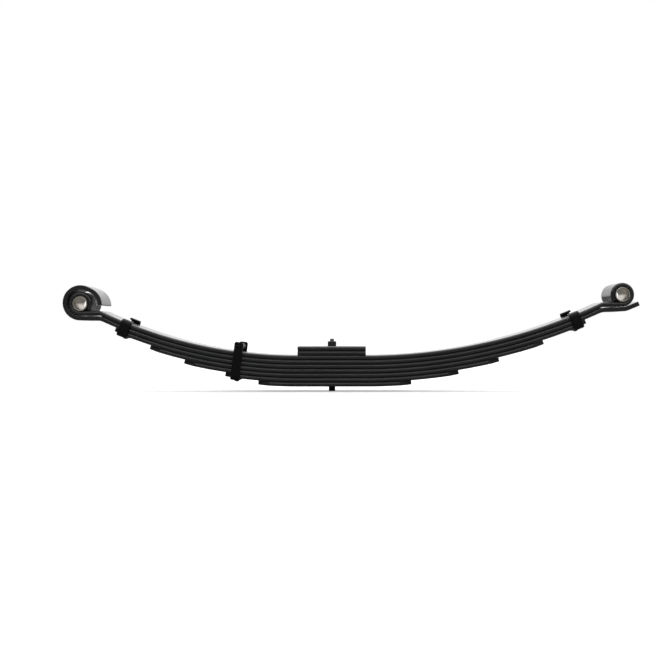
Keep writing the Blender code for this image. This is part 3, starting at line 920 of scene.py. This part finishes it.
def add_softbox(name, location, target, size, power):
    light = bpy.data.lights.new(name, "AREA")
    light.shape = "RECTANGLE"
    light.size, light.size_y = size
    light.energy = power
    lamp = bpy.data.objects.new(name, light)
    bpy.context.scene.collection.objects.link(lamp)
    lamp.location = location
    lamp.rotation_euler = (Vector(target) - Vector(location)).to_track_quat("-Z", "Y").to_euler()
    lamp.visible_camera = False


class Surroundings:
    """The world's node tree: how bright the room is in each direction."""

    def __init__(self):
        world = bpy.data.worlds.new("studio")
        bpy.context.scene.world = world
        world.use_nodes = True
        self.tree = world.node_tree
        place = self.tree.nodes.new("ShaderNodeTexCoord")
        split = self.tree.nodes.new("ShaderNodeSeparateXYZ")
        self.tree.links.new(place.outputs["Generated"], split.inputs["Vector"])
        self.x, self.y, self.z = (split.outputs[axis] for axis in "XYZ")

    def math(self, operation, a, b):
        """Each of a and b is a number or another node's output."""
        node = self.tree.nodes.new("ShaderNodeMath")
        node.operation = operation
        for value, socket in ((a, node.inputs[0]), (b, node.inputs[1])):
            if isinstance(value, float):
                socket.default_value = value
            else:
                self.tree.links.new(value, socket)
        return node.outputs["Value"]

    def ramp(self, source, start, end, low, high):
        node = self.tree.nodes.new("ShaderNodeMapRange")
        node.interpolation_type = "SMOOTHSTEP"
        node.inputs["From Min"].default_value = start
        node.inputs["From Max"].default_value = end
        node.inputs["To Min"].default_value = low
        node.inputs["To Max"].default_value = high
        self.tree.links.new(source, node.inputs["Value"])
        return node.outputs["Result"]

    def end(self, brightness):
        """Lights the scene with the brightness, and shows a plain white backdrop to the camera."""
        path = self.tree.nodes.new("ShaderNodeLightPath")
        seen = path.outputs["Is Camera Ray"]
        plain = self.math("MULTIPLY", seen, BACKDROP)
        lit = self.math("MULTIPLY", self.math("SUBTRACT", 1.0, seen), brightness)
        background = self.tree.nodes["Background"]
        self.tree.links.new(self.math("ADD", plain, lit), background.inputs["Strength"])
        background.inputs["Color"].default_value = (1.0, 1.0, 1.0, 1.0)


def light_stage():
    """Bright behind and overhead, dim in front and to the left, with a long softbox above the camera."""
    room = Surroundings()
    towards_back = room.math("ADD", room.y, room.math("MULTIPLY", room.z, OVERHEAD_SHARE))
    brightness = room.ramp(towards_back, *ROOM_FADE, ROOM_FRONT, ROOM_BACK)
    left_share = room.ramp(room.x, *LEFT_FADE, LEFT_SHARE, 1.0)
    room.end(room.math("MULTIPLY", brightness, left_share))
    add_softbox("front_softbox", FRONT_SOFTBOX_PLACE, LIT_POINT, FRONT_SOFTBOX_SIZE, FRONT_SOFTBOX_POWER)
    add_softbox("top_softbox", TOP_SOFTBOX_PLACE, LIT_POINT, TOP_SOFTBOX_SIZE, TOP_SOFTBOX_POWER)


def add_camera():
    """Looks level along +Y from just right of the bolt, and is shifted to the framing."""
    camera_data = bpy.data.cameras.new("camera")
    camera_data.sensor_width = SENSOR_WIDTH
    camera_data.lens = camera_data.sensor_width * CAMERA_DISTANCE / FRAMED_WIDTH
    camera_data.shift_x, camera_data.shift_y = CAMERA_SHIFT
    camera_data.clip_start = 0.05
    camera_data.clip_end = 100.0
    camera = bpy.data.objects.new("camera", camera_data)
    bpy.context.scene.collection.objects.link(camera)
    camera.location = (CAMERA_X, -WIDTH / 2 - CAMERA_DISTANCE, CAMERA_HEIGHT)
    camera.rotation_euler = (math.pi / 2, 0.0, 0.0)
    bpy.context.scene.camera = camera


# ---------------------------------------------------------------- the scene

def main():
    bpy.context.scene.view_settings.view_transform = "Standard"
    add_camera()
    spring_paint = painted_steel(
        "spring_paint", dark=(0.014, 0.0143, 0.0155), light=(0.021, 0.0214, 0.0229), worn=(0.06, 0.055, 0.05),
        rough_low=0.30, rough_high=0.42, specular=0.25, wear=0.5, coat=0.45,
    )
    clip_paint = painted_steel(
        "clip_paint", dark=(0.003, 0.003, 0.0034), light=(0.005, 0.005, 0.0054), worn=(0.03, 0.028, 0.026),
        rough_low=0.38, rough_high=0.5, specular=0.12, wear=0.4, coat=0.05,
    )
    nut_steel = bare_steel("nut_steel", (0.03, 0.03, 0.033), (0.06, 0.06, 0.065), 0.35, 0.5, 0.6)
    zinc = bare_steel("dull_zinc", (0.16, 0.16, 0.17), (0.24, 0.24, 0.25), 0.35, 0.5, 0.85)
    bronze = bushing_bronze("bushing_bronze")
    make_leaf_halves(spring_paint)
    make_spacer_plates(spring_paint)
    make_centre_bolt(zinc)
    make_nut(nut_steel)
    for side_name, side in SIDES.items():
        make_bushing(side_name, side, bronze)
    make_clips(clip_paint, zinc)
    make_floor()
    light_stage()


main()
